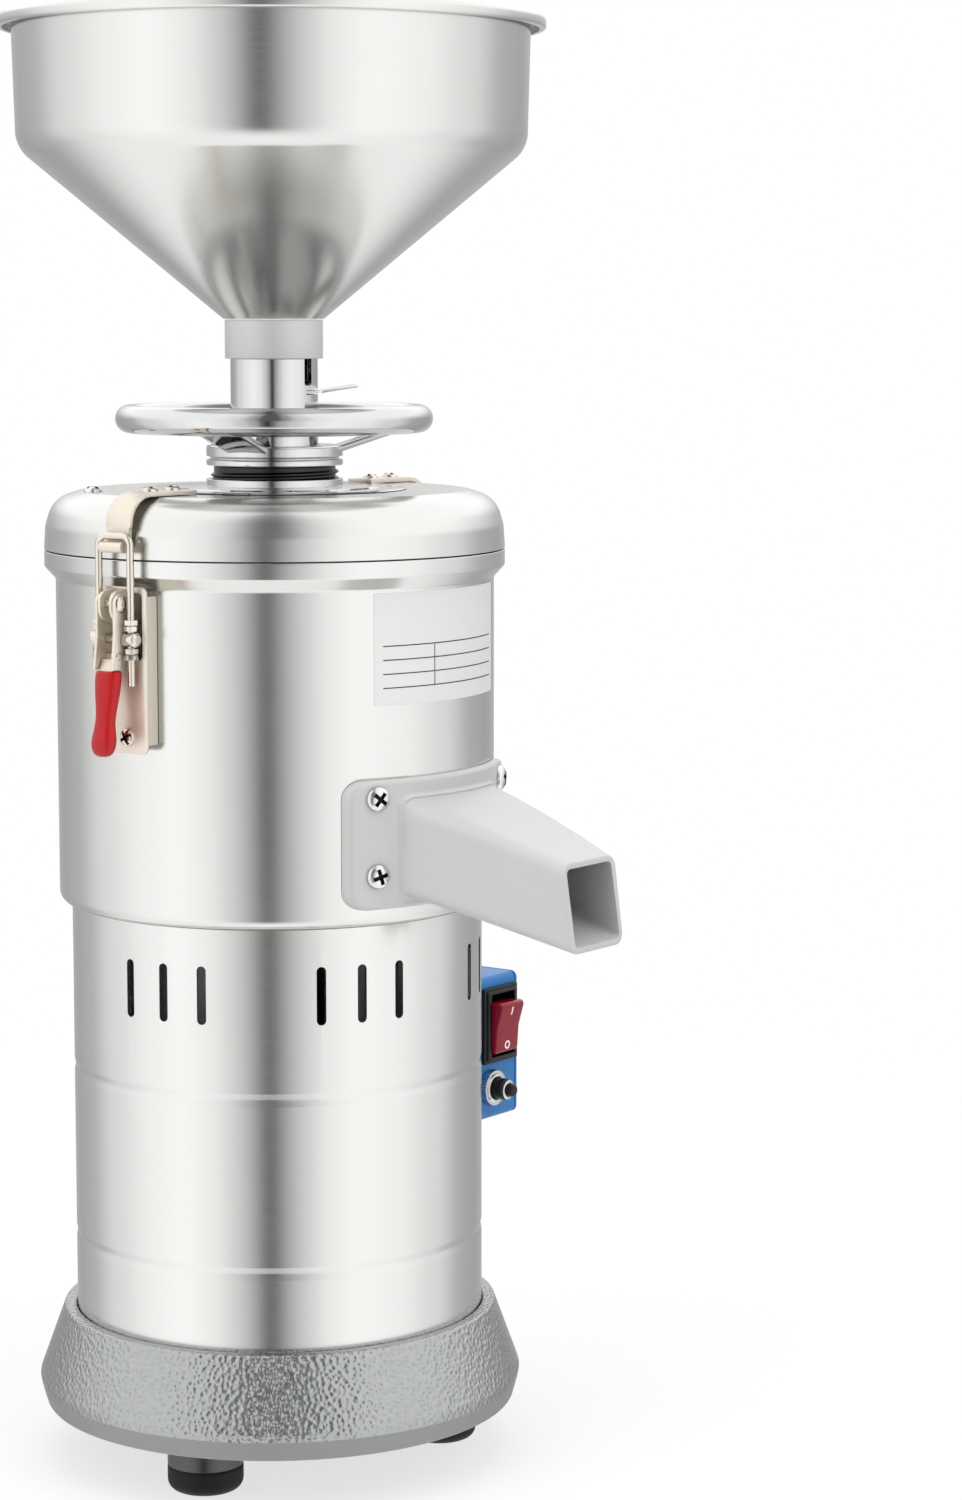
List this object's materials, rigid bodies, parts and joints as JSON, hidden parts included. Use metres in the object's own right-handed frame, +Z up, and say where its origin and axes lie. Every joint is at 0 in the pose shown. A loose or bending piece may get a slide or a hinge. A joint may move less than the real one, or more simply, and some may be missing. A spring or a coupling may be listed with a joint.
{
  "type": "peanut butter machine",
  "caption": "Upright bench-top nut grinder with a round motor base, a latched grinding housing, a side spout, an adjusting handwheel, a funnel hopper and a switch box.",
  "frame": {"origin": "centre of the bottom cover's underside, on the axis of the motor shaft", "axes": "+Z up along the shaft, -Y towards the discharge spout, +X towards the control box"},
  "size_m": [0.2631, 0.3015, 0.657],
  "materials": {
    "stainless": "brushed and polished stainless sheet",
    "polished_chrome": "bright plate",
    "hammer_paint": "silver hammer-effect paint on a casting",
    "cast_aluminium": "satin casting",
    "dark_steel": "oiled dark steel",
    "tool_steel": "ground tool steel",
    "zinc_plate": "bright zinc plate",
    "laminated_iron": "stacked iron sheets",
    "copper_wire": "varnished copper wire",
    "black_rubber": "moulded rubber",
    "silicone": "translucent silicone",
    "blue_paint": "blue powder coat",
    "black_plastic": "moulded black plastic",
    "red_rocker": "clear dark red plastic",
    "red_vinyl": "dipped red vinyl",
    "grey_plastic": "moulded grey plastic"
  },
  "bodies": {
    "machine": {"base_casting": "hammer_paint", "bottom_cover": "dark_steel", "rubber_foot_1": "black_rubber", "rubber_foot_2": "black_rubber", "rubber_foot_3": "black_rubber", "motor_shell": "stainless", "lower_end_bracket": "cast_aluminium", "upper_end_bracket": "cast_aluminium", "lower_bearing": "tool_steel", "upper_bearing": "tool_steel", "stator_core": "laminated_iron", "lower_windings": "copper_wire", "upper_windings": "copper_wire", "grinding_housing": "stainless", "chamber_floor": "stainless", "shaft_seal": "black_rubber", "lid_gasket": "silicone", "lid": "stainless", "lid_boss": "polished_chrome", "discharge_spout": "cast_aluminium", "spout_screw_1": "zinc_plate", "spout_screw_2": "zinc_plate", "spout_screw_3": "zinc_plate", "spout_screw_4": "zinc_plate", "control_box": "blue_paint", "control_box_cover": "blue_paint", "run_capacitor": "grey_plastic", "switch_housing": "black_plastic", "reset_nut": "polished_chrome", "cable_gland": "black_plastic", "latch_base_left": "zinc_plate", "latch_base_right": "zinc_plate", "latch_pivot_left": "zinc_plate", "latch_pivot_right": "zinc_plate", "lid_strap_left": "zinc_plate", "lid_strap_right": "zinc_plate"},
    "rotor": {"rotor_core": "laminated_iron", "shaft": "tool_steel", "cooling_fan": "black_plastic", "paste_sweeper": "stainless", "lower_grinding_disc": "tool_steel", "disc_nut": "stainless"},
    "adjuster": {"feed_tube": "polished_chrome"},
    "handwheel": {"handwheel": "polished_chrome", "threaded_sleeve": "dark_steel", "upper_grinding_disc": "tool_steel"},
    "hopper": {"hopper": "stainless"},
    "feed_gate": {"feed_gate": "zinc_plate"},
    "latch_lever_left": {"latch_lever_left": "zinc_plate", "latch_grip_left": "red_vinyl"},
    "latch_lever_right": {"latch_lever_right": "zinc_plate", "latch_grip_right": "red_vinyl"},
    "latch_bail_left": {"latch_trunnion_left": "zinc_plate", "latch_bail_left": "zinc_plate"},
    "latch_bail_right": {"latch_trunnion_right": "zinc_plate", "latch_bail_right": "zinc_plate"},
    "switch_rocker": {"switch_rocker": "red_rocker"},
    "reset_button": {"reset_button": "black_plastic"}
  },
  "joints": [
    {"name": "rotor_spin", "type": "hinge", "parent": "machine", "child": "rotor", "pos_m": [0, 0, 0.18], "axis": [0, 0, 1], "continuous": true},
    {"name": "adjuster_slide", "type": "slide", "parent": "machine", "child": "adjuster", "axis": [0, 0, 1], "range_m": [-0.0015, 0.0015]},
    {"name": "handwheel_turn", "type": "hinge", "parent": "adjuster", "child": "handwheel", "pos_m": [0, 0, 0.453], "axis": [0, 0, 1], "range_deg": [-180, 180]},
    {"name": "hopper_lift", "type": "slide", "parent": "adjuster", "child": "hopper", "axis": [0, 0, 1], "range_m": [0, 0.06]},
    {"name": "gate_slide", "type": "slide", "parent": "adjuster", "child": "feed_gate", "axis": [0.6947, -0.7193, 0], "range_m": [0, 0.03]},
    {"name": "lever_left_turn", "type": "hinge", "parent": "machine", "child": "latch_lever_left", "pos_m": [-0.1118, 0, 0.376], "axis": [0, 1, 0], "range_deg": [0, 110]},
    {"name": "lever_right_turn", "type": "hinge", "parent": "machine", "child": "latch_lever_right", "pos_m": [0.1118, 0, 0.376], "axis": [0, -1, 0], "range_deg": [0, 110]},
    {"name": "bail_left_turn", "type": "hinge", "parent": "latch_lever_left", "child": "latch_bail_left", "pos_m": [-0.1095, 0, 0.3605], "axis": [0, 1, 0], "range_deg": [-99, 0]},
    {"name": "bail_right_turn", "type": "hinge", "parent": "latch_lever_right", "child": "latch_bail_right", "pos_m": [0.1095, 0, 0.3605], "axis": [0, -1, 0], "range_deg": [-99, 0]},
    {"name": "rocker_tilt", "type": "hinge", "parent": "machine", "child": "switch_rocker", "pos_m": [0.1235, -0.035, 0.1585], "axis": [-1, 0, 0], "range_deg": [0, 20]},
    {"name": "reset_press", "type": "slide", "parent": "machine", "child": "reset_button", "axis": [0, 1, 0], "range_m": [0, 0.003], "stiffness_N_per_m": 400}
  ],
  "couplings": [
    {"joint": "adjuster_slide", "follows": "handwheel_turn", "m_per_rad": 0.000477},
    {"joint": "bail_left_turn", "follows": "lever_left_turn", "ratio": -0.891},
    {"joint": "bail_right_turn", "follows": "lever_right_turn", "ratio": -0.891}
  ]
}
